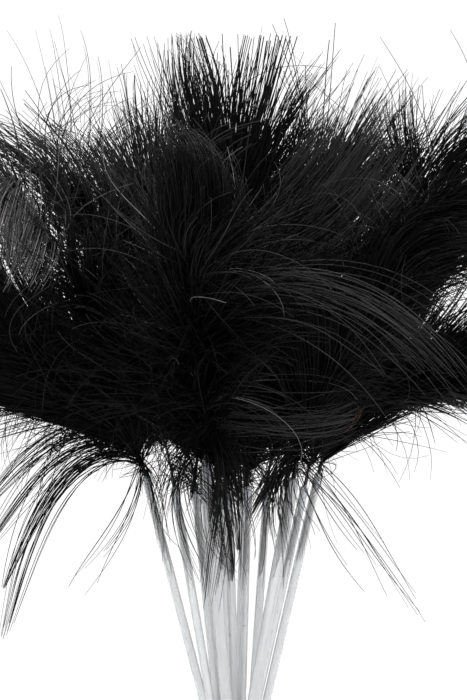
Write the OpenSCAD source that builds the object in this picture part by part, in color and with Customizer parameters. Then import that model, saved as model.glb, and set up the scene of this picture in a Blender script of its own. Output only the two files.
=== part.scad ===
// Hand-tied bunch of feather plumes. Each plume's quill is glued into the mouth of
// a thin plastic tube, and an elastic band holds the tubes together.
// The origin is the open lower end of the middle tube, +Z runs up the bunch,
// +X is the bunch's right-hand side and -Y is its front.

/* [Tubes] */
// Outer diameter of a slim tube
slim_od = 2.8; // [2.4:0.1:2.8]
// Outer diameter of a wide tube
wide_od = 4.0; // [3.6:0.1:4.0]
// Wall thickness of every tube
tube_wall = 0.4; // [0.3:0.05:0.5]
// Height at which the tubes start to spread, just above the band
spread_z = 70; // [64:1:76]

/* [Quills and glue] */
// Diameter of a quill in a slim tube
slim_quill_d = 1.2; // [1:0.1:1.4]
// Diameter of a quill in a wide tube
wide_quill_d = 1.6; // [1.4:0.1:2]
// Length of quill that is pushed into the tube
quill_in = 25; // [15:1:30]
// Length of bare quill above the tube's mouth
quill_out = 4; // [3:0.5:6]
// Depth of the glue inside the tube's mouth
glue_in = 7; // [5:0.5:9]
// Height of the glue's dome above the mouth
glue_dome = 0.8; // [0.4:0.1:1.2]

/* [Plumes] */
// Largest radius of a plume's soft body, as a share of its length
plume_fullness = 0.125; // [0.1:0.005:0.145]
// How far the fullest place moves towards the tip: 1 is halfway
plume_taper = 1.3; // [1:0.05:1.6]

/* [Band] */
// Drop from the place where the tubes spread to the top of the band
band_drop = 0.5; // [0.3:0.1:20]
// Width of one turn of the band
band_turn_w = 2.4; // [1.6:0.1:2.8]
// Thickness of the band
band_t = 0.9; // [0.6:0.1:1.4]
// Number of turns
band_turns = 4; // [2:1:4]
// Gap between two turns
band_gap = 0.3; // [0.2:0.1:0.5]
// Clearance between the band and the tubes
band_fit = 0.05; // [0.02:0.01:0.1]

/* [Hidden] */
$fn = 48;
// One row per pick, with the middle one first:
// [x at the tie, y at the tie, lean to the right, lean to the back, mouth height,
//  wide tube?, plume azimuth, plume elevation, plume length]
PICKS = [
    [0, 0, -1.5, -4, 160, false, 280, 86, 142],
    [-5.9, 0, -14.5, -1, 163, false, 194, 34, 96],
    [-5.2, -2.8, -9.5, -6, 160, false, 218, 56, 128],
    [-4.4, 2.6, -6, 6, 158, false, 150, 30, 106],
    [-1.7, -3.5, -4.5, -9, 168, true, 266, 56, 100],
    [1.5, 2.6, 1.6, 5, 159, false, 62, 62, 130],
    [4.4, 2.6, 4, 8, 158, false, 36, 28, 106],
    [2.4, -3.5, 10, -8, 163, true, 316, 54, 120],
    [2.95, 0, 12.5, -1, 160, false, 12, 64, 130],
    [5.9, 0, 13, 2, 164, false, 343, 29, 96],
    [-2.95, 0, -3.5, 1, 162, false, 168, 62, 132],
    [-1.5, 2.6, -2.5, 7, 160, false, 118, 60, 130],
    [0, 5.2, 2, 12, 158, false, 74, 28, 100],
    [-3, 5.2, -5, 12, 160, false, 112, 22, 96]
];
PLUME_STEPS = 16;

function lean_vec(i) = [tan(PICKS[i][2]), tan(PICKS[i][3])];
function lean(i) = atan(norm(lean_vec(i)));
function lean_az(i) = atan2(lean_vec(i)[1], lean_vec(i)[0]);
function mouth_z(i) = PICKS[i][4];
function is_wide(i) = PICKS[i][5];
function plume_az(i) = PICKS[i][6];
function plume_el(i) = PICKS[i][7];
function plume_len(i) = PICKS[i][8];

function tube_d(i) = is_wide(i) ? wide_od : slim_od;
function bore_d(i) = tube_d(i) - 2 * tube_wall;
function quill_d(i) = is_wide(i) ? wide_quill_d : slim_quill_d;

// The tube is upright as far as the spread, and leans from there to its mouth
function upper_len(i) = (mouth_z(i) - spread_z) / cos(lean(i));

function numbered(name) = [for (i = [0:len(PICKS) - 1]) str(name, "_", i + 1)];

// Puts children where tube i starts to spread, with X the way that it leans
module lean_plane(i) {
    translate([PICKS[i][0], PICKS[i][1], spread_z])
        rotate([0, 0, lean_az(i)])
            children();
}

// Puts children at the mouth of tube i, with Z along the tube
module at_mouth(i) {
    lean_plane(i)
        rotate([0, lean(i), 0])
            translate([0, 0, upper_len(i)])
                children();
}

// One straight length of tube i, cut on the slant where it meets the other one.
// It runs up from the spread, or down from it
module leg(i, length, down) {
    reach = 2 * tube_d(i);
    mirror([0, 0, down ? 1 : 0])
        difference() {
            translate([0, 0, -reach / 2])
                cylinder(h = length + reach / 2, d = tube_d(i));
            translate([0, 0, -reach])
                cylinder(h = length + 2 * reach, d = bore_d(i));
            rotate([0, -lean(i) / 2, 0])
                translate([-reach, -reach, -2 * reach])
                    cube(2 * reach);
        }
}

module stem_tube(i) {
    color([0.86, 0.88, 0.91, 0.7])
        lean_plane(i) {
            leg(i, spread_z, true);
            rotate([0, lean(i), 0])
                leg(i, upper_len(i), false);
        }
}

// Hot-melt glue that fills the mouth round the quill and stands proud as a dome
module glue_plug(i) {
    inner = quill_d(i) / 2;
    outer = bore_d(i) / 2;
    color([0.8, 0.86, 0.93, 0.9])
        at_mouth(i)
            rotate_extrude()
                polygon([
                    [inner, -glue_in],
                    [outer, -glue_in + (outer - inner) / 2],
                    [outer, 0],
                    for (a = [30, 60]) [inner + (outer - inner) * cos(a), glue_dome * sin(a)],
                    [inner, glue_dome]
                ]);
}

// The bare part of the feather's shaft, with a cut-off tapered end inside the tube
module quill(i) {
    r = quill_d(i) / 2;
    color([0.05, 0.05, 0.06])
        at_mouth(i)
            rotate_extrude()
                polygon([
                    [0, -quill_in],
                    [r / 2, -quill_in],
                    [r, -quill_in + 4 * r],
                    [r, quill_out],
                    [0, quill_out]
                ]);
}

// The soft part of the feather: a plain club of the space that its barbs fill
module plume(i) {
    r = plume_len(i) * plume_fullness;
    base = quill_d(i) / 2;
    color([0.06, 0.06, 0.07])
        at_mouth(i)
            translate([0, 0, quill_out])
                rotate([0, -lean(i), 0])
                    rotate([0, 0, -lean_az(i)])
                        rotate([0, 90 - plume_el(i), plume_az(i)])
                            rotate_extrude()
                                polygon([
                                    [0, 0],
                                    for (k = [0:PLUME_STEPS - 1])
                                        let (t = k / PLUME_STEPS)
                                            [base + r * sin(180 * pow(t, plume_taper)), t * plume_len(i)],
                                    [0, plume_len(i)]
                                ]);
}

// The outline of all the tubes where they are upright, grown outwards
module bundle_outline(grow) {
    hull()
        for (i = [0:len(PICKS) - 1])
            translate([PICKS[i][0], PICKS[i][1]])
                circle(d = tube_d(i) + 2 * grow, $fn = 32);
}

module elastic_band() {
    pitch = band_turn_w + band_gap;
    color([0.93, 0.9, 0.82])
        for (turn = [0:band_turns - 1])
            translate([0, 0, spread_z - band_drop - band_turn_w - turn * pitch])
                linear_extrude(band_turn_w)
                    difference() {
                        bundle_outline(band_fit + band_t);
                        bundle_outline(band_fit);
                    }
}

for (i = [0:len(PICKS) - 1]) {
    stem_tube(i);
    glue_plug(i);
    quill(i);
    plume(i);
}
elastic_band();
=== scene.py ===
from math import cos, pi, radians, sin

import bpy
import numpy as np
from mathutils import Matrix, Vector


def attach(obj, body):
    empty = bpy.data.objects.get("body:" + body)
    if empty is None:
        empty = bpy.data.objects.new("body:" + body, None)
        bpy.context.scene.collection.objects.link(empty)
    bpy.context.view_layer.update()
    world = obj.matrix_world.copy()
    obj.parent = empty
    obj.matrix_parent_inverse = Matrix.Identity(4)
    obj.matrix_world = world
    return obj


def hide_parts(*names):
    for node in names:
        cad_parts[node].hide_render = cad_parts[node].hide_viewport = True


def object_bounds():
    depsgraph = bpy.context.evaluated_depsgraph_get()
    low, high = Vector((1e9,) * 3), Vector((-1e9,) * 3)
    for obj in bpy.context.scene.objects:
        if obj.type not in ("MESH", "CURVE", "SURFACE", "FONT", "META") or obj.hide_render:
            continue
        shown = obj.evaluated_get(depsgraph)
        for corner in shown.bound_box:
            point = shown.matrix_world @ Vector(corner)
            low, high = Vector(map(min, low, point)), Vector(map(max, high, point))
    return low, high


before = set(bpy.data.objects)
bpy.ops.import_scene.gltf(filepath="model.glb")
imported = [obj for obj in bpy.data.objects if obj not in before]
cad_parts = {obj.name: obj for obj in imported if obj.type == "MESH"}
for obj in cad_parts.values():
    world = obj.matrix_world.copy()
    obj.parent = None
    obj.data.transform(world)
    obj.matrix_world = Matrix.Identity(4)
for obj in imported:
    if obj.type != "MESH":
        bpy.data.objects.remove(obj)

cad_box = [list(corner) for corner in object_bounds()]

# A hand-tied bunch of black marabou plumes on plastic tubes. The CAD's tubes, glue, quills
# and band keep their shapes and get better materials. Each of its plain plumes is replaced
# by strands that grow from a shaft on the plume's axis.

MM = 0.001
UP = np.array([0.0, 0.0, 1.0])
FRONT = np.array([0.0, -1.0, 0.0])
PICKS = sum(node.startswith("plume_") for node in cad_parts)


# ---------------------------------------------------------------- camera, floor and lights

def make_camera():
    """A long lens, level with the bunch, that crops the plumes on three sides."""
    view_height = 233.4 * MM
    distance = 1.1
    middle = Vector((-0.8 * MM, 0, 205.7 * MM))
    data = bpy.data.cameras.new("camera")
    data.sensor_width = 36
    data.lens = data.sensor_width * distance / view_height
    data.clip_start = 0.05
    camera = bpy.data.objects.new("camera", data)
    camera.location = middle + Vector((0, -distance, 0))
    camera.rotation_euler = (radians(90), 0, 0)
    bpy.context.scene.collection.objects.link(camera)
    bpy.context.scene.camera = camera


def make_floor():
    """A pale round sheet under the bunch, which fades into the white studio at its rim."""
    radius, solid_radius, gap, sides = 0.78, 0.30, 0.4 * MM, 96
    faded_radius = 0.95 * radius
    mesh = bpy.data.meshes.new("floor")
    angles = [2 * pi * k / sides for k in range(sides)]
    rim = [(radius * cos(a), radius * sin(a), -gap) for a in angles]
    mesh.from_pydata(rim, [], [tuple(range(sides))])
    floor = bpy.data.objects.new("floor", mesh)
    bpy.context.scene.collection.objects.link(floor)
    material, shader, nodes, links = new_material("floor_paper")
    grain = noise_node(nodes, 40, 2)
    colour = ramp_node(nodes, links, grain, (0.90, 0.90, 0.90), (0.93, 0.93, 0.93))
    links.new(colour, shader.inputs["Base Color"])
    shader.inputs["Roughness"].default_value = 0.9
    place = nodes.new("ShaderNodeTexCoord")
    away = nodes.new("ShaderNodeVectorMath")
    away.operation = "LENGTH"
    links.new(place.outputs["Object"], away.inputs[0])
    fade = range_node(nodes, links, away.outputs["Value"], solid_radius, faded_radius, 1, 0)
    fade.node.interpolation_type = "SMOOTHSTEP"
    links.new(fade, shader.inputs["Alpha"])
    mesh.materials.append(material)


def make_area_light(name, place, target, size, power):
    """A square soft box that looks at the target. Sizes in metres, power in watts."""
    data = bpy.data.lights.new(name, "AREA")
    data.shape = "SQUARE"
    data.size = size
    data.energy = power
    light = bpy.data.objects.new(name, data)
    light.location = place
    light.rotation_euler = (Vector(target) - Vector(place)).to_track_quat("-Z", "Y").to_euler()
    bpy.context.scene.collection.objects.link(light)


def make_light():
    """Three soft boxes, and a white studio that is brighter to look at than as a light."""
    glow, backdrop = 0.4, 1.05
    world = bpy.data.worlds.new("studio")
    world.use_nodes = True
    nodes, links = world.node_tree.nodes, world.node_tree.links
    background = nodes["Background"]
    background.inputs["Color"].default_value = (1, 1, 1, 1)
    ray = nodes.new("ShaderNodeLightPath")
    sight = nodes.new("ShaderNodeMath")
    sight.operation = "MAXIMUM"
    links.new(ray.outputs["Is Camera Ray"], sight.inputs[0])
    links.new(ray.outputs["Is Transmission Ray"], sight.inputs[1])
    strength = range_node(nodes, links, sight.outputs["Value"], 0, 1, glow, backdrop)
    links.new(strength, background.inputs["Strength"])
    bpy.context.scene.world = world
    plumes = (0, 0, 0.22)
    make_area_light("key", (-0.5, -0.9, 1.2), plumes, size=0.5, power=14)
    make_area_light("fill", (0.9, -0.9, 0.4), plumes, size=0.9, power=8)
    make_area_light("rim", (0.4, 0.9, 1.0), plumes, size=0.6, power=9)
    scene = bpy.context.scene
    scene.view_settings.view_transform = "Standard"
    scene.view_settings.look = "None"


# ---------------------------------------------------------------- materials

def new_material(name):
    """A new material, with its shader, its nodes and its links."""
    material = bpy.data.materials.new(name)
    material.use_nodes = True
    nodes, links = material.node_tree.nodes, material.node_tree.links
    return material, nodes["Principled BSDF"], nodes, links


def noise_node(nodes, scale, detail, squeeze=(1, 1, 1)):
    """Noise in the row's own space, so that it needs no UVs. Scale is in cycles per metre,
    and a squeeze below 1 draws the pattern out along that axis."""
    links = nodes.id_data.links
    place = nodes.new("ShaderNodeTexCoord")
    draw_out = nodes.new("ShaderNodeVectorMath")
    draw_out.operation = "MULTIPLY"
    draw_out.inputs[1].default_value = squeeze
    noise = nodes.new("ShaderNodeTexNoise")
    noise.inputs["Scale"].default_value = scale
    noise.inputs["Detail"].default_value = detail
    links.new(place.outputs["Object"], draw_out.inputs[0])
    links.new(draw_out.outputs["Vector"], noise.inputs["Vector"])
    return noise.outputs["Fac"]


def range_node(nodes, links, factor, low, high, bottom, top):
    """Maps the span from low to high of a value onto the span from bottom to top."""
    spread = nodes.new("ShaderNodeMapRange")
    spread.inputs["From Min"].default_value = low
    spread.inputs["From Max"].default_value = high
    spread.inputs["To Min"].default_value = bottom
    spread.inputs["To Max"].default_value = top
    links.new(factor, spread.inputs["Value"])
    return spread.outputs["Result"]


def roughen(nodes, links, shader, factor, smooth, rough, depth):
    """Varies the roughness with a pattern, and raises the pattern as a bump."""
    roughness = range_node(nodes, links, factor, 0.3, 0.7, smooth, rough)
    links.new(roughness, shader.inputs["Roughness"])
    bump = nodes.new("ShaderNodeBump")
    bump.inputs["Distance"].default_value = depth
    links.new(factor, bump.inputs["Height"])
    links.new(bump.outputs["Normal"], shader.inputs["Normal"])


def ramp_node(nodes, links, factor, dark, light, low=0.35, high=0.65):
    """Colours a pattern from dark, at low and less, to light, at high and more."""
    ramp = nodes.new("ShaderNodeValToRGB")
    ramp.color_ramp.elements[0].position = low
    ramp.color_ramp.elements[0].color = (*dark, 1)
    ramp.color_ramp.elements[1].position = high
    ramp.color_ramp.elements[1].color = (*light, 1)
    links.new(factor, ramp.inputs["Fac"])
    return ramp.outputs["Color"]


# Each strand carries a value for how light it is: it is 0 where it is blackest, and from
# UNDYED on the strand has the feather's own brown. Below BLACK it differs at random, as the
# dye took; the greys from BLACK up to PALE_GREY are painted highlights, which stand in for
# the sheen of strands that catch the light
BLACK = 0.70
CHARCOAL = 0.90
GREY = 0.93
PALE_GREY = 0.97
UNDYED = 1.0


def down_material():
    """Dyed down: near-black strands that differ at random in tone, a few brown ones that
    took no dye, and grey ones whose paleness is painted highlight, with a soft sheen.
    """
    material, shader, nodes, links = new_material("black_down")
    dye_and_highlight = nodes.new("ShaderNodeAttribute")
    dye_and_highlight.attribute_name = "dye_and_highlight"
    ramp = nodes.new("ShaderNodeValToRGB")
    stops = ramp.color_ramp.elements
    stops[0].position, stops[0].color = 0.0, (0.0015, 0.0015, 0.0017, 1)
    stops[1].position, stops[1].color = UNDYED, (0.22, 0.11, 0.055, 1)
    # the grey stops above BLACK are painted highlights on the strands
    for position, colour in ((BLACK, (0.006, 0.006, 0.007)), (CHARCOAL, (0.055, 0.052, 0.053)),
                             (GREY, (0.190, 0.185, 0.185)), (PALE_GREY, (0.27, 0.26, 0.255))):
        stops.new(position).color = (*colour, 1)
    uptake = noise_node(nodes, 220, 3)
    patchy = range_node(nodes, links, uptake, 0.35, 0.65, 0.98, 1)
    mottled = nodes.new("ShaderNodeMath")
    mottled.operation = "MULTIPLY"
    links.new(dye_and_highlight.outputs["Fac"], mottled.inputs[0])
    links.new(patchy, mottled.inputs[1])
    links.new(mottled.outputs["Value"], ramp.inputs["Fac"])
    links.new(ramp.outputs["Color"], shader.inputs["Base Color"])
    shader.inputs["Specular IOR Level"].default_value = 0.14
    roughen(nodes, links, shader, uptake, 0.38, 0.55, 0.02 * MM)
    return material


def quill_material():
    """Dyed horn, with paler streaks where the dye wore off."""
    material, shader, nodes, links = new_material("quill_horn")
    wear = noise_node(nodes, 900, 3, squeeze=(1, 1, 0.15))
    colour = ramp_node(nodes, links, wear, (0.010, 0.010, 0.011), (0.035, 0.031, 0.028))
    links.new(colour, shader.inputs["Base Color"])
    roughen(nodes, links, shader, wear, 0.28, 0.45, 0.03 * MM)
    return material


def tube_material():
    """Frosted, slightly blue polypropylene that lets the dark quill show through. It was
    drawn lengthways, so its haze and its faint scratches run along it, and a few dark
    specks of dirt stick to it."""
    material, shader, nodes, links = new_material("frosted_tube")
    haze = noise_node(nodes, 900, 4, squeeze=(1, 1, 0.06))
    colour = ramp_node(nodes, links, haze, (0.93, 0.94, 0.955), (0.97, 0.975, 0.98))
    dirt = ramp_node(nodes, links, noise_node(nodes, 700, 1), (0, 0, 0), (1, 1, 1), 0.77, 0.80)
    speck = nodes.new("ShaderNodeMix")
    speck.data_type = "RGBA"
    links.new(dirt, speck.inputs["Factor"])
    links.new(colour, speck.inputs["A"])
    speck.inputs["B"].default_value = (0.25, 0.24, 0.23, 1)
    links.new(speck.outputs["Result"], shader.inputs["Base Color"])
    shader.inputs["Transmission Weight"].default_value = 0.75
    shader.inputs["IOR"].default_value = 1.42
    roughen(nodes, links, shader, haze, 0.14, 0.24, 0.02 * MM)
    return material


def glue_material():
    """Cloudy hot-melt glue."""
    material, shader, nodes, links = new_material("milky_glue")
    cloud = noise_node(nodes, 900, 3)
    colour = ramp_node(nodes, links, cloud, (0.62, 0.70, 0.80), (0.74, 0.81, 0.90))
    links.new(colour, shader.inputs["Base Color"])
    shader.inputs["Transmission Weight"].default_value = 0.25
    roughen(nodes, links, shader, cloud, 0.2, 0.4, 0.06 * MM)
    return material


def elastic_material():
    """Natural rubber with a bloom of chalk."""
    material, shader, nodes, links = new_material("rubber_band")
    chalk = noise_node(nodes, 1200, 4)
    colour = ramp_node(nodes, links, chalk, (0.55, 0.47, 0.33), (0.68, 0.60, 0.45))
    links.new(colour, shader.inputs["Base Color"])
    roughen(nodes, links, shader, chalk, 0.45, 0.75, 0.05 * MM)
    return material


# ---------------------------------------------------------------- where the picks are

def axis_ends(node):
    """The two end points of a long round node's axis, the lower one first."""
    slack = 1e-5
    points = np.array([v.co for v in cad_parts[node].data.vertices])
    middle = points.mean(axis=0)
    axis = np.linalg.svd(points - middle, full_matrices=False)[2][0]
    axis = axis * np.sign(axis[2])
    along = (points - middle) @ axis
    ends = [points[along < along.min() + slack], points[along > along.max() - slack]]
    return [end.mean(axis=0) for end in ends]


def axis_radius(node):
    """How far a round node reaches from its own axis."""
    points = np.array([v.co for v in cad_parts[node].data.vertices])
    low, high = axis_ends(node)
    axis = unit(high - low)
    away = points - low
    return np.linalg.norm(away - (away @ axis)[:, None] * axis, axis=1).max()


def unit(v):
    """A vector, or each row of an array, at length 1."""
    return v / np.linalg.norm(v, axis=-1, keepdims=True)


def blend_in(t, start, end):
    """0 before start, 1 after end, and smooth between them."""
    x = np.clip((t - start) / (end - start), 0, 1)
    return x * x * (3 - 2 * x)


# ---------------------------------------------------------------- strands

SIDES = 3
FLATNESS_OF_MATS = 0.12    # thickness of a matted barb, as a share of its width

# Radii at the root and at the tip
BARB = (0.27 * MM, 0.10 * MM)
FLUFF = (0.17 * MM, 0.06 * MM)
WISP = (0.17 * MM, 0.07 * MM)
TUFT = (0.17 * MM, 0.08 * MM)
WIRY_DOWN = (0.12 * MM, 0.05 * MM)
SHAFT = (0.50 * MM, 0.08 * MM)
TUCKED_DOWN = 0.14 * MM    # all along

# Sizes of the swirls that bend neighbouring strands together
WIDE_SWIRL = 16 * MM
TIGHT_SWIRL = 6 * MM


def strand_arrays(paths, radii, dye_and_highlight, thickness=1.0):
    """One closed three-sided tapered tube per strand, which thickness below 1 makes flat.
    paths is strands x points x 3, radii is strands x points, and the third, how light a
    strand is from dye and from painted highlight, is one value a strand."""
    askew = np.array([0.31, 0.52, 0.79])
    count, points = radii.shape
    tangent = unit(np.gradient(paths, axis=1))
    across = unit(np.cross(tangent, askew))
    other = np.cross(tangent, across) * thickness
    angle = np.arange(SIDES) * 2 * pi / SIDES
    ring = (np.cos(angle)[:, None] * across[:, :, None, :]
            + np.sin(angle)[:, None] * other[:, :, None, :])
    vertices = (paths[:, :, None, :] + radii[:, :, None, None] * ring).reshape(-1, 3)
    index = np.arange(len(vertices)).reshape(count, points, SIDES)
    lower, upper = index[:, :-1], index[:, 1:]
    quads = np.stack([lower, np.roll(lower, -1, 2), np.roll(upper, -1, 2), upper], -1)
    caps = np.concatenate([index[:, 0, ::-1], index[:, -1]])
    return vertices, quads.reshape(-1, 4), caps, np.repeat(dye_and_highlight, points * SIDES)


def strand_piece(name, parts):
    """All the strands of one feather in one mesh."""
    arrays = [strand_arrays(*part) for part in parts]
    offsets = np.cumsum([0] + [len(a[0]) for a in arrays[:-1]])
    vertices = np.concatenate([a[0] for a in arrays])
    quads = np.concatenate([a[1] + o for a, o in zip(arrays, offsets)])
    caps = np.concatenate([a[2] + o for a, o in zip(arrays, offsets)])
    dye_and_highlight = np.concatenate([a[3] for a in arrays])
    corners = np.concatenate([quads.ravel(), caps.ravel()])
    sizes = np.concatenate([np.full(len(faces), faces.shape[1]) for faces in (quads, caps)])
    starts = np.cumsum(sizes) - sizes
    mesh = bpy.data.meshes.new(name)
    mesh.vertices.add(len(vertices))
    mesh.vertices.foreach_set("co", vertices.astype(np.float32).ravel())
    mesh.loops.add(len(corners))
    mesh.loops.foreach_set("vertex_index", corners.astype(np.int32))
    mesh.polygons.add(len(sizes))
    mesh.polygons.foreach_set("loop_start", starts.astype(np.int32))
    mesh.polygons.foreach_set("use_smooth", np.ones(len(sizes), dtype=bool))
    mesh.update(calc_edges=True)
    # each strand's lightness, from its dye and from painted highlight, goes on its points
    shade = mesh.attributes.new("dye_and_highlight", "FLOAT", "POINT")
    shade.data.foreach_set("value", dye_and_highlight.astype(np.float32))
    piece = bpy.data.objects.new(name, mesh)
    bpy.context.scene.collection.objects.link(piece)
    return piece


def flow(places, seed, size):
    """A smooth field of sideways pushes, so that strands near each other bend together."""
    rng = np.random.default_rng(seed)
    push = np.zeros_like(places)
    waves = 6
    for _ in range(waves):
        wave = rng.normal(size=3) / size
        direction = rng.normal(size=3)
        push += np.sin(places @ wave + rng.uniform(0, 2 * pi))[..., None] * direction
    return push / waves


def grow(roots, headings, lengths, steps, bend, droop, curl, seed):
    """Grows strands step by step. bend turns each heading at an even rate, droop pulls
    it down more and more, and curl lets the flow field push it about."""
    push_at_root, tight_share = 0.4, 0.25
    paths = np.empty((len(roots), steps + 1, 3))
    paths[:, 0] = roots
    heading = unit(headings)
    step = (lengths / steps)[:, None]
    for k in range(steps):
        t = (k + 0.5) / steps
        push = bend - droop[:, None] * UP * t
        push = push + curl[:, None] * (push_at_root + t) * flow(paths[:, k], seed, WIDE_SWIRL)
        push = push + tight_share * curl[:, None] * flow(paths[:, k], seed + 1, TIGHT_SWIRL)
        heading = unit(heading + push / steps)
        paths[:, k + 1] = paths[:, k] + heading * step
    return paths


def clump(paths, groups, strength):
    """Draws each group's strands together towards the tips, as down locks into points.
    strength is one value a group."""
    groups = np.unique(groups, return_inverse=True)[1]
    points = paths.shape[1]
    total = np.zeros((groups.max() + 1, points, 3))
    np.add.at(total, groups, paths)
    leader = total / np.bincount(groups)[:, None, None]
    pull = strength[groups][:, None] * np.linspace(0, 1, points) ** 1.1
    return paths + pull[..., None] * (leader[groups] - paths)


def fit_inside(paths, low, high, least, rng):
    """Shrinks a strand about its root where it would reach past the corners low and high,
    to between all and the least share of what fits, but not to less than a stub."""
    tiny, stub = 1e-7, 0.02
    root = paths[:, :1]
    reach = paths - root
    room = np.where(reach > 0, high - root, low - root)
    share = room / np.where(np.abs(reach) < tiny, tiny * np.where(room < 0, -1, 1), reach)
    share = share.min(axis=(1, 2))
    share = np.where(share < 1, share * rng.uniform(least, 1, len(share)), 1)
    return root + reach * np.clip(share, stub, 1)[:, None, None]


def taper(count, points, thick, thin, rng):
    """Radii that fall from thick to thin, most of all near the tip, and differ by strand."""
    t = np.linspace(0, 1, points)
    width = thick + (thin - thick) * t ** 1.8
    return width[None] * rng.uniform(0.7, 1.3, (count, 1))


# ---------------------------------------------------------------- one plume

# What most plumes have. Lengths are in metres, angles in degrees
PLAIN = {
    "reach": 0.82,         # length of the shaft, as a share of the plume's length
    "lift": 0.0,           # how far the shaft's tip stands above the plume's axis
    "droop": 0.15,         # how far the shaft's end hangs over
    "face": None,          # the way that the flat of the vane looks, or None for up
    "barbs": 950,          # how many
    "barb": 0.056,         # their usual length
    "angles": (58, 26),    # between barb and shaft, at the shaft's two ends
    "roll": 35,            # how far the barbs stray from the flat of the vane
    "gather": 0.8,         # how far the barbs bend towards the shaft's tip
    "barb_droop": 0.4,     # how far they hang
    "foot_droop": 0.0,     # more droop for the barbs at the plume's foot
    "curl": 1.3,           # how far they wander
    "lock": 0.6,           # how tightly the barbs of a lock draw together
    "mats": 520,           # how many matted barbs
    "mats_from": 0.14,     # where on the shaft the matted barbs begin
    "mats_end": 0.92,      # and where they end
    "fluff": 700,          # how many strands of fine down
    "fluff_from": 0.02,    # where on the shaft the fine down begins
    "wisps": 30,           # how many stray hairs
    "wisp_length": (0.7, 1.35),    # least and most, as shares of a barb
    "wisp_curl": 3.2,      # how far they wander
    "wisp_tone": (0.3, 0.85),      # least and most of their lightness, from dye and painted highlight
    "wisps_from": 0.45,    # where on the shaft the stray hairs begin
    "tuft": 2,             # locks that hang from the foot
    "tuft_length": 0.040,  # the longest, about
    "tuft_lean": 0.4,      # how far they are to the front
    "collar": 50,          # how many wiry strands round the foot
    "top": None,           # height at which the tips are trimmed
    "tone": (0.0, 0.75),   # least and most of their lightness, from dye and painted highlight
    "long_locks": [],      # made by lock()
}


def shaft_curve(base, stem, tip, droop, count):
    """A curve that leaves along the stem, and bends over to the tip."""
    first_handle, last_handle, arch, sag = 0.36, 0.74, 0.4, 0.3
    reach = np.linalg.norm(tip - base)
    t = np.linspace(0, 1, count)[:, None]
    a = base + stem * reach * first_handle
    b = base + (tip - base) * last_handle + UP * reach * droop * arch
    end = tip - UP * reach * droop * sag
    return ((1 - t) ** 3 * base + 3 * (1 - t) ** 2 * t * a
            + 3 * (1 - t) * t ** 2 * b + t ** 3 * end)


def along_shaft(shaft, s):
    """Places and directions at fractions s of the shaft."""
    at = s * (len(shaft) - 1)
    low = np.clip(at.astype(int), 0, len(shaft) - 2)
    part = (at - low)[:, None]
    place = shaft[low] * (1 - part) + shaft[low + 1] * part
    return place, unit(shaft[low + 1] - shaft[low])


def around(ahead, face, turn):
    """Directions square to the shaft: turn 0 is along the vane, and pi / 2 out of it."""
    across = unit(np.cross(ahead, face))
    flat = np.cross(across, ahead)
    return np.cos(turn)[:, None] * across + np.sin(turn)[:, None] * flat


def droops(style, s):
    """How far barbs hang at fractions s of the shaft, where the foot can differ."""
    foot_end, rest_start = 0.1, 0.5
    return style["barb_droop"] + style["foot_droop"] * (1 - blend_in(s, foot_end, rest_start))


def tones(style, locks, rng):
    """How light each strand is, which is much the same within a lock: it differs as the dye
    took, and its lighter values are painted highlights.
    """
    likeness = 0.55
    low, high = style["tone"]
    own = rng.random(len(locks))
    shared = rng.random(locks.max() + 1)[locks]
    return low + (high - low) * ((1 - likeness) * own + likeness * shared) ** 2


def matting(shaft, face, style, rng, seed):
    """Flat matted barbs under the loose ones, which keep daylight out of the plume."""
    count, steps = style["mats"], 8
    s = rng.uniform(style["mats_from"], style["mats_end"], count)
    place, ahead = along_shaft(shaft, s)
    turn = rng.uniform(0, 2 * pi, count)
    out = around(ahead, face, turn)
    wide, narrow = np.radians(style["angles"])
    angle = (wide + (narrow - wide) * s) * rng.uniform(0.4, 1.1, count)
    heading = np.cos(angle)[:, None] * ahead + np.sin(angle)[:, None] * out
    length = style["barb"] * rng.uniform(0.36, 0.74, count)
    bend = style["gather"] * ahead + rng.normal(0, 0.2, (count, 3))
    curl = style["curl"] * rng.uniform(0.5, 1.5, count)
    paths = grow(place, heading, length, steps, bend, droops(style, s), curl, seed)
    t = np.linspace(0, 1, steps + 1)
    leaf_shape = (0.25 + 0.95 * np.sin(pi * np.minimum(t + 0.12, 1))) * (1 - t ** 3) + 0.04
    radii = leaf_shape[None] * rng.uniform(0.6, 1.1, (count, 1)) * MM
    return paths, radii, np.zeros(count), FLATNESS_OF_MATS


def vane(shaft, face, style, rng, seed):
    """The two rows of long barbs. Neighbours that leave the same way draw into a lock."""
    count, steps = style["barbs"], 12
    rows, ways = 20, 5
    s = rng.uniform(0.04, 1, count) ** 0.85
    side = rng.integers(0, 2, count)
    place, ahead = along_shaft(shaft, s)
    turn = side * pi + rng.normal(0, radians(style["roll"]), count)
    out = around(ahead, face, turn)
    wide, narrow = np.radians(style["angles"])
    angle = wide + (narrow - wide) * s ** 0.8
    angle = angle * (1 - s ** 3 * rng.uniform(0, 1.6, count)) + rng.normal(0, radians(4), count)
    heading = np.cos(angle)[:, None] * ahead + np.sin(angle)[:, None] * out
    shape = 0.65 + 0.35 * np.sin(pi * np.clip(s * 0.85 + 0.1, 0, 1))
    length = style["barb"] * shape * rng.uniform(0.65, 1.25, count)
    bend = style["gather"] * ahead + rng.normal(0, 0.09, (count, 3))
    droop = droops(style, s) * rng.uniform(0.7, 1.3, count)
    curl = style["curl"] * rng.uniform(0.8, 1.2, count)
    paths = grow(place, heading, length, steps, bend, droop, curl, seed)
    way = side * ways + ((turn % pi) * ways / pi).astype(int)
    locks = (s * rows).astype(int) * 2 * ways + way
    pull = style["lock"] * rng.uniform(0.3, 1.2, locks.max() + 1)
    paths = clump(paths, locks, pull)
    return paths, taper(count, steps + 1, *BARB, rng), tones(style, locks, rng)


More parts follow.
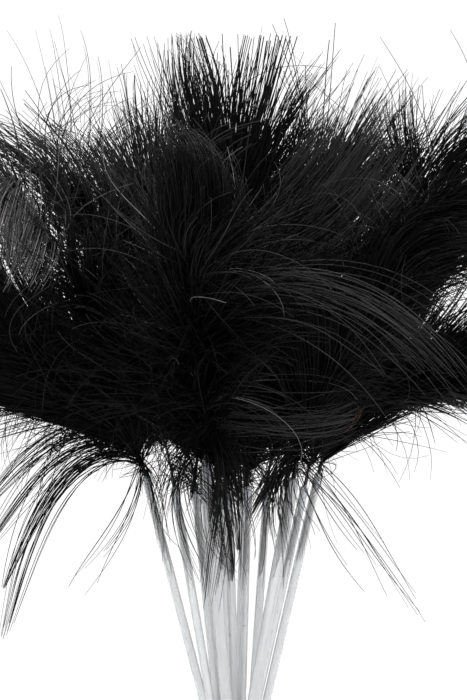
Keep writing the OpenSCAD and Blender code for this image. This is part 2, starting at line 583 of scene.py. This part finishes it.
def fluff(shaft, face, style, rng, seed):
    """Finer, more wayward down that fills the plume's depth, most of it near the base."""
    count, steps = style["fluff"], 8
    rows, ways = 20, 8
    s = rng.uniform(style["fluff_from"], 0.9, count) ** 1.2
    place, ahead = along_shaft(shaft, s)
    turn = rng.uniform(0, 2 * pi, count)
    out = around(ahead, face, turn)
    heading = out + ahead * rng.uniform(0.5, 1.6, (count, 1))
    length = rng.uniform(0.3, 0.85, count) * style["barb"]
    bend = rng.normal(0, 0.7, (count, 3))
    droop = np.full(count, style["barb_droop"])
    curl = 2.6 * rng.uniform(0.4, 1.6, count)
    paths = grow(place, heading, length, steps, bend, droop, curl, seed)
    locks = (s * rows).astype(int) * ways + (turn * ways / 2 / pi).astype(int)
    paths = clump(paths, locks, rng.uniform(0.1, 0.5, locks.max() + 1))
    return paths, taper(count, steps + 1, *FLUFF, rng), tones(style, locks, rng)


def wisps(shaft, face, style, rng, seed):
    """Single long hairs that stray from the rest."""
    count, steps = style["wisps"], 16
    s = rng.uniform(style["wisps_from"], 1, count)
    place, ahead = along_shaft(shaft, s)
    out = around(ahead, face, rng.uniform(0, 2 * pi, count))
    heading = out * rng.uniform(0.1, 0.8, (count, 1)) + ahead * rng.uniform(0.5, 1.2, (count, 1))
    length = rng.uniform(*style["wisp_length"], count) * style["barb"]
    bend = rng.normal(0, 1.1, (count, 3))
    droop = style["barb_droop"] * rng.uniform(-0.4, 1.4, count)
    curl = style["wisp_curl"] * rng.uniform(0.3, 1.6, count)
    paths = grow(place, heading, length, steps, bend, droop, curl, seed)
    # their paler tones are painted highlights on the stray hairs
    dye_and_highlight = rng.uniform(*style["wisp_tone"], count)
    return paths, taper(count, steps + 1, *WISP, rng), dye_and_highlight


def tuft(shaft, face, style, rng, seed):
    """Locks of down at the plume's foot, which hang over the tubes and end in points."""
    locks, each, steps = style["tuft"], 16, 13
    group = np.repeat(np.arange(locks), each)
    count = len(group)
    foot = rng.uniform(0, 0.10, locks)[group] + rng.uniform(-0.01, 0.01, count)
    place = along_shaft(shaft, np.clip(foot, 0, 1))[0]
    turns = rng.uniform(0, 2 * pi, locks)
    out = np.stack([np.cos(turns), np.sin(turns), np.zeros(locks)], -1)
    out = unit(out + style["tuft_lean"] * FRONT)[group]
    heading = out + rng.normal(-0.2, 0.4, locks)[group][:, None] * UP
    heading = heading + rng.normal(0, 0.12, (count, 3))
    share = rng.uniform(0.5, 1, locks)[group] * rng.uniform(0.6, 1.05, count)
    length = style["tuft_length"] * share
    bend = -0.8 * out + rng.normal(0, 0.25, (count, 3))
    droop = rng.uniform(3.5, 8.0, locks)[group]
    curl = rng.uniform(1.0, 3.5, locks)[group]
    paths = grow(place, heading, length, steps, bend, droop, curl, seed)
    paths = clump(paths, group, rng.uniform(0.5, 0.95, locks))
    return paths, taper(count, steps + 1, *TUFT, rng), tones(style, group, rng)


def collar(shaft, face, style, rng, seed):
    """Short wiry down round the plume's foot."""
    count, steps = style["collar"], 9
    place, ahead = along_shaft(shaft, rng.uniform(0, 0.12, count) ** 1.5)
    place = place - ahead * rng.uniform(0, 3.5, (count, 1)) * MM
    turn = rng.uniform(0, 2 * pi, count)
    heading = around(ahead, face, turn) + ahead * rng.uniform(-0.9, 1.6, (count, 1))
    length = rng.uniform(4, 15, count) * MM
    bend = rng.normal(0, 1.3, (count, 3))
    droop = rng.uniform(0, 2, count)
    curl = rng.uniform(1, 5, count)
    paths = grow(place, heading, length, steps, bend, droop, curl, seed)
    return paths, taper(count, steps + 1, *WIRY_DOWN, rng), rng.uniform(0, BLACK, count)


def lock(place, heading, length, bend, strands, tone=0.3, spray=0.12, thick=0.18, end=0.4,
         curl=0.8, tight=0.6):
    """A lock of the longest barbs: the place on the shaft that it leaves, its heading
    there, its length in millimetres, the way that it bends, how many strands it has and
    how light they are, from dye and from painted highlight, how far they spray apart,
    their radius in millimetres and its share at their ends, how far they wander and how
    tightly they draw together."""
    return {"place": place, "heading": np.array(heading), "length": length * MM,
            "bend": np.array(bend), "strands": strands, "tone": tone, "spray": spray,
            "thick": thick * MM, "end": end, "curl": curl, "tight": tight}


def long_locks(shaft, style, rng, seed):
    """Locks of the longest barbs, which cross over the other plumes or hang free."""
    steps, strands_per_point, closest = 16, 12, 0.95
    parts = []
    for k, one in enumerate(style["long_locks"]):
        count = one["strands"]
        place = along_shaft(shaft, np.clip(one["place"] + rng.normal(0, 0.04, count), 0, 1))[0]
        heading = unit(one["heading"]) + rng.normal(0, one["spray"], (count, 3))
        length = one["length"] * rng.uniform(0.6, 1.08, count)
        bend = one["bend"] * rng.uniform(0.8, 1.2, (count, 1)) + rng.normal(0, 0.15, (count, 3))
        curl = one["curl"] * rng.uniform(0.6, 1.4, count)
        paths = grow(place, heading, length, steps, bend, np.zeros(count), curl, seed + k)
        groups = rng.integers(0, max(count // strands_per_point, 1), count)
        pull = one["tight"] * rng.uniform(0.4, 1.4, groups.max() + 1)
        paths = clump(paths, groups, np.minimum(pull, closest))
        # the lighter of these tones are painted highlights on the locks
        dye_and_highlight = one["tone"] * rng.uniform(0.9, 1, count)
        radii = taper(count, steps + 1, one["thick"], one["end"] * one["thick"], rng)
        parts.append((paths, radii, dye_and_highlight))
    return parts


def tucked_down(number, rng):
    """Down that was pushed into the tube along with the quill, below the glue."""
    inner, outer = axis_ends(f"quill_{number}")
    axis = unit(outer - inner)
    glue_end = np.dot(axis_ends(f"glue_plug_{number}")[0] - inner, axis)
    count, points, tone = 30, 9, 0.4
    wall, horn = axis_radius(f"glue_plug_{number}"), axis_radius(f"quill_{number}")
    across = around(axis[None], FRONT, np.zeros(1))[0]
    other = np.cross(axis, across)
    start = rng.uniform(0.3, 1.0, count) * glue_end
    end = start - rng.uniform(0.3, 0.9, count) * glue_end
    t = np.linspace(0, 1, points)
    along = start[:, None] + (end - start)[:, None] * t
    turn = rng.uniform(0, 2 * pi, (count, 1)) + rng.uniform(-3, 3, (count, 1)) * t
    away = 0.45 * wall + 0.55 * horn
    paths = (inner + along[..., None] * axis + away * np.cos(turn)[..., None] * across
             + away * np.sin(turn)[..., None] * other)
    return paths, np.full((count, points), TUCKED_DOWN), np.full(count, tone)


def make_plume(number):
    """Replaces a CAD plume with two pieces: the feather's barbs, and the down under them."""
    style = {**PLAIN, **STYLES.get(number, {})}
    rng = np.random.default_rng(100 + number)
    inner, base = axis_ends(f"quill_{number}")
    stem = unit(base - inner)
    ends = axis_ends(f"plume_{number}")
    tip = max(ends, key=lambda end: np.linalg.norm(end - base))
    tip = base + (tip - base) * style["reach"] + style["lift"] * UP
    shaft_points, shaft_tone = 61, CHARCOAL
    ragged, clean_cut = 0.8, 0.98
    shaft = shaft_curve(base, stem, tip, style["droop"], shaft_points)
    outward = unit((tip - base) * (1, 1, 0))
    face = unit(UP - 0.6 * outward) if style["face"] is None else unit(np.array(style["face"]))
    low, high = ROOM
    trim = np.array([high[0], high[1], style["top"] or high[2]])
    rachis = (shaft[None], np.linspace(*SHAFT, shaft_points)[None], np.array([shaft_tone]))
    seed = 1000 * number
    barbs = [vane(shaft, face, style, rng, seed), *long_locks(shaft, style, rng, seed + 60)]
    growers = [matting, fluff, wisps, *([tuft] if style["tuft"] else []), collar]
    down = [grower(shaft, face, style, rng, seed + 10 * (k + 1)) for k, grower in enumerate(growers)]
    for name, parts, extra in (("feather", barbs, rachis), ("down", down, tucked_down(number, rng))):
        kept = []
        for paths, *rest in parts:
            paths = fit_inside(paths, low, high, ragged, rng)
            if name == "feather":
                paths = fit_inside(paths, low, trim, clean_cut, rng)
            kept.append((paths, *rest))
        piece = strand_piece(f"{name}_{number}", kept + [extra])
        piece.data.materials.append(MATERIALS["down"])
        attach(piece, "root")
        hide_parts(f"plume_{number}")


# How each plume differs from the plain one, with its number as the key
STYLES = {
    # the tall one in the middle, with trimmed tips that fan out
    1: {"reach": 0.66, "droop": 0.0, "face": (0, -1, 0), "barb": 0.060, "angles": (70, 54),
        "roll": 30, "barb_droop": 0.0, "curl": 0.9, "top": 0.3095, "tuft": 3,
        "barbs": 700, "lock": 0.5, "tuft_lean": 1.0, "tuft_length": 0.05, "wisps": 10,
        "mats": 800,
        "long_locks": [
            *[lock(0.93, (lean, -0.1, 1), length, (0, 0, 0.3), strands, tone=0.5, spray=0.09,
                   thick=0.2, curl=1.0, tight=0.35)
              for lean, length, strands in ((-0.72, 68, 46), (-0.50, 66, 56), (-0.28, 62, 46),
                                            (0.56, 60, 26), (0.85, 62, 34))],
            *[lock(0.96, (lean, -0.1, 1), 72, (0, 0, 0.3), 9, tone=0.5, spray=0.03, thick=0.19,
                   end=0.9, curl=0.3, tight=0.2) for lean in (0.0, 0.14, 0.28, 0.42)],
            *[lock(place, (1, -0.55, rise), length, (0.1, 0, 1.3), 90, tone=0.885, spray=0.07,
                   thick=0.2, tight=0.5)
              for place, rise, length in ((0.95, 0.05, 60), (0.85, -0.1, 70), (0.72, -0.2, 80))],
            lock(0.97, (-0.04, 0, 1), 70, (0, 0, 0), 6, spray=0.03, thick=0.25, end=0.9, tight=0.6),
            lock(0.97, (0.33, 0, 1), 70, (0, 0, 0), 5, spray=0.02, thick=0.25, end=0.9, tight=0.6)]},
    # the lower left one, seen flat on: its lower barbs arch over and hang
    2: {"reach": 0.44, "lift": 0.013, "droop": 0.0, "face": (0, -1, 0), "barb": 0.060,
        "angles": (46, 20), "roll": 14, "gather": 0.1, "barb_droop": 0.1, "foot_droop": 0.2,
        "curl": 0.8, "tuft": 0, "wisps": 8, "fluff": 300, "collar": 30, "mats": 380,
        "long_locks": [
            *[lock(place, (-1.0, side, rise), length, (-1.5, 0, -hang), 18, thick=0.18,
                   spray=0.045, curl=1.2, tight=0.85)
              for place, side, rise, length, hang in (
                  (0.02, -0.2, 0.85, 94, 5.0), (0.07, -0.2, 0.85, 88, 4.4),
                  (0.14, -0.1, 0.70, 80, 3.5), (0.24, 0.0, 0.60, 74, 2.6),
                  (0.35, 0.0, 0.45, 66, 1.6))],
            *[lock(place, (-1.0, 0.1, rise), 56, (0, 0, 0), 70, thick=0.2, spray=0.08, tight=0.5)
              for place, rise in ((0.35, 0.33), (0.55, 0.48), (0.75, 0.65), (0.95, 0.85))],
            lock(0.0, (-0.55, -0.28, 0.9), 46, (-0.5, 0, -0.1), 1, tone=GREY, spray=0, thick=0.3,
                 end=0.3, curl=0),
            lock(0.01, (0.05, -0.4, -0.8), 52, (-0.3, 0, -0.4), 9, spray=0.22, curl=2.5, tight=0.1),
            lock(0.01, (0.4, -0.5, -0.5), 30, (0, 0, -1.5), 9, spray=0.3, curl=3, tight=0.1)]},
    # front left: barbs hang over from its tip, with their grey painted on as highlight
    3: {"reach": 0.86, "droop": 0.0, "barb_droop": 1.2, "angles": (60, 40), "gather": 0.4,
        "tone": (0.2, 0.95), "tuft": 0, "collar": 20, "barbs": 150, "mats": 200, "fluff": 220,
        "fluff_from": 0.2, "mats_end": 0.6, "wisps": 110, "wisps_from": 0.2, "wisp_curl": 6,
        "wisp_length": (0.4, 1.1), "wisp_tone": (0.65, 0.93),
        "long_locks": [
            lock(0.84, (0.1, -0.9, 1.8), 28, (-0.9, 0, -5.4), 120, tone=PALE_GREY, spray=0.22, curl=1.8),
            lock(0.93, (0.0, -0.8, 1.8), 28, (-0.9, 0, -5.4), 120, tone=PALE_GREY, spray=0.22, curl=1.8),
            lock(1.00, (-0.3, -0.8, 1.8), 30, (-0.9, 0, -5.0), 120, tone=PALE_GREY, spray=0.22, curl=1.8),
            lock(0.98, (-0.5, 0.2, 1), 64, (-0.6, 0, 0), 20, tone=0.8, spray=0.3, thick=0.14,
                 curl=3, tight=0.2),
            lock(0.04, (0.45, -0.8, 0.2), 42, (0, 0.3, -3.4), 14, spray=0.08, curl=4, tight=0.4)]},
    # low at the back left
    4: {"barb_droop": 0.4, "fluff": 400, "tuft": 0, "angles": (34, 16), "fluff_from": 0.2},
    # front centre: a long arc to the right, and locks that hang over the tubes
    5: {"face": (0, -1, 0.3), "barb_droop": 1.2, "curl": 3.4, "wisps": 260, "wisp_curl": 8,
        "wisp_length": (0.4, 1.2), "wisp_tone": (0.7, 0.95), "wisps_from": 0.05, "tuft": 0,
        "collar": 8, "foot_droop": -1.2, "tone": (0.0, 0.72),
        "long_locks": [
            lock(0.62, (1.0, -0.35, 0.66), 118, (0.1, -0.1, -1.6), 26, tone=0.91, spray=0.05, thick=0.15),
            lock(0.60, (1.0, -0.45, 0.55), 112, (0.1, -0.1, -1.5), 16, tone=0.88, spray=0.1, curl=2.5),
            lock(0.14, (1.0, -0.35, -0.2), 62, (0.1, 0, 0.4), 30, tone=0.86, spray=0.12, curl=1.6),
            *[lock(0.04, (side, -0.5, -0.1), length, (-1.5 * side, 0.3, -3.4), 15, spray=0.08,
                   curl=2.2, tight=0.8)
              for side, length in ((0.30, 64), (0.48, 40), (0.72, 50), (-0.62, 54))],
            lock(0.02, (0.3, -0.6, -0.6), 52, (0, 0, -1), 12, spray=0.35, curl=4, tight=0.1),
            lock(0.04, (-0.5, -0.5, 0.2), 40, (0.2, 0, -3.0), 18, spray=0.15, curl=2.5),
            lock(0.04, (0.6, -0.6, 0.1), 38, (0, 0, -3.0), 16, spray=0.2, curl=2.5),
            lock(0.08, (1.0, -0.6, 0.1), 42, (0.3, 0, -3.0), 20, spray=0.2, curl=2.5),
            lock(0.02, (0.4, -0.6, -0.4), 50, (0, 0, -1.0), 12, spray=0.2, curl=2.5, tight=0.2)]},
    # upper right, at the back
    6: {"barb": 0.064, "barb_droop": 0.0, "curl": 1.8, "face": (0, -1, 0.5), "mats": 800,
        "tone": (0.0, 0.85), "angles": (62, 44), "tuft": 0,
        "long_locks": [
            lock(1.0, (0.05, 0, 1), 84, (0, 0, 0), 9, spray=0.08, thick=0.2, end=0.7, curl=1.4,
                 tight=0.1),
            lock(0.95, (0.5, -0.2, 1), 64, (0.2, 0, 0), 80, spray=0.16, thick=0.2, tight=0.3),
            lock(0.90, (0.95, -0.2, 0.9), 58, (0.2, 0, 0.1), 110, spray=0.16, thick=0.2, tight=0.3),
            lock(0.98, (0.85, -0.4, 0.8), 46, (0.5, 0, -0.3), 5, tone=1.1 * UNDYED, thick=0.14)]},
    # low at the back right
    7: {"wisps": 4, "angles": (40, 24), "gather": 0.4, "foot_droop": -0.8, "barb_droop": 0.0,
        "fluff": 150, "fluff_from": 0.3, "tuft": 0, "collar": 20},
    # front right
    8: {"barb_droop": 0.8, "tuft": 0, "wisps": 140, "wisp_curl": 7, "wisp_tone": (0.65, 0.92),
        "wisp_length": (0.3, 0.9), "wisps_from": 0.3, "tone": (0.0, 0.8), "angles": (38, 40),
        "curl": 2.4, "collar": 12, "foot_droop": -0.8,
        "long_locks": [
            lock(0.02, (0.75, -0.3, -0.6), 66, (-0.1, 0, -0.4), 7, spray=0.07, curl=1, tight=0.3),
            lock(0.02, (0.5, -0.5, -0.7), 50, (0, 0, -0.4), 6, spray=0.15, curl=1.5, tight=0.2),
            lock(0.02, (-0.5, -0.5, -0.5), 46, (0, 0, -1), 14, spray=0.3, curl=4, tight=0.1),
            lock(0.05, (-0.6, -0.6, 0.1), 34, (0.2, 0.2, -2.6), 34, spray=0.14, curl=2),
            lock(0.05, (-0.7, -0.6, 0.1), 38, (0.3, 0, -3.0), 44, spray=0.2, curl=2.5)]},
    # right
    9: {"wisps": 14, "wisps_from": 0.7, "barb": 0.064, "angles": (34, 44), "barb_droop": -0.3,
        "face": (0, -1, 0.5), "foot_droop": -0.8, "curl": 1.8, "tuft": 0, "collar": 16,
        "mats": 300, "mats_end": 0.55, "barbs": 560, "tone": (0.0, 0.9), "long_locks": [
            lock(0.85, (-0.35, -0.2, 1), 52, (0.2, 0, 0), 70, spray=0.16, thick=0.2, tight=0.3),
            lock(0.95, (0.3, -0.2, 1), 48, (0.3, 0, 0), 50, spray=0.2, thick=0.2, tight=0.3)]},
    # lower right, seen flat on
    10: {"reach": 0.7, "face": (0, -1, 0), "angles": (22, 12), "roll": 14, "gather": 0.1,
         "barb_droop": 0.0, "curl": 0.8, "tuft": 0, "wisps": 8, "fluff": 200, "collar": 12,
         "long_locks": [
             lock(0.03, (0.8, -0.3, 0.62), 60, (0.2, 0, 0), 50, spray=0.05, thick=0.22, tight=0.4),
             lock(0.5, (0.9, -0.3, -0.1), 20, (0.8, 0, 2.5), 6, spray=0.2, curl=3, tight=0.1),
             lock(0.2, (0.8, -0.6, 0.3), 24, (0, 0, 1), 4, tone=1.1 * UNDYED, thick=0.14)]},
    # upper left, airy and pale
    11: {"wisps": 60, "barb_droop": -0.1, "face": (0, -1, 0.5), "curl": 4.5, "mats": 220,
         "gather": 0.3, "mats_end": 0.8, "barbs": 300, "fluff": 400, "tone": (0.4, 0.97),
         "long_locks": [lock(0.95, (lean, -0.1, 1), 66, (bow, 0, 0), 14, tone=0.8, spray=0.2,
                             thick=0.15, curl=3, tight=0.2)
                        for lean, bow in ((-0.5, 0.8), (-0.2, -0.9), (0.1, 0.8), (0.35, -0.8))]},
    # upper left, at the back
    12: {"wisps": 60, "barb_droop": -0.2, "curl": 2.0, "face": (0, -1, 0.5), "barb": 0.060,
         "angles": (60, 40), "tuft": 0,
         "long_locks": [lock(0.9, (-0.3, -0.2, 1), 58, (0.2, 0, 0), 60, spray=0.2, thick=0.2,
                             tight=0.3),
                        lock(0.9, (0.35, -0.2, 1), 60, (-0.2, 0, 0), 100, spray=0.2, thick=0.2,
                             tight=0.3)]},
    # low at the back
    13: {"reach": 0.65, "wisps": 14, "angles": (40, 24), "barb_droop": 0.2, "fluff": 500, "tuft": 0},
    14: {"reach": 0.65, "angles": (40, 24), "barb_droop": 0.2, "fluff": 400, "tuft": 0,
         "fluff_from": 0.2},
}


# ---------------------------------------------------------------- put together

def dress(node, material):
    """Gives a CAD node a better material."""
    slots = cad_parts[node].data.materials
    slots.clear()
    slots.append(material)


make_camera()
make_floor()
make_light()

# The strands' room is off the ground, and just inside the allowance round the CAD's box,
# which is 3% of each side and 10 mm
low_corner, high_corner = np.array(cad_box)
allowance = 0.03 * (high_corner - low_corner) + 9.3 * MM
ROOM = (low_corner - allowance) * (1, 1, 0) + MM * UP, high_corner + allowance
MATERIALS = {
    "down": down_material(),
    "tube": tube_material(),
    "glue": glue_material(),
    "quill": quill_material(),
    "elastic": elastic_material(),
}

for number in range(1, PICKS + 1):
    dress(f"stem_tube_{number}", MATERIALS["tube"])
    dress(f"glue_plug_{number}", MATERIALS["glue"])
    dress(f"quill_{number}", MATERIALS["quill"])
    make_plume(number)
dress("elastic_band", MATERIALS["elastic"])
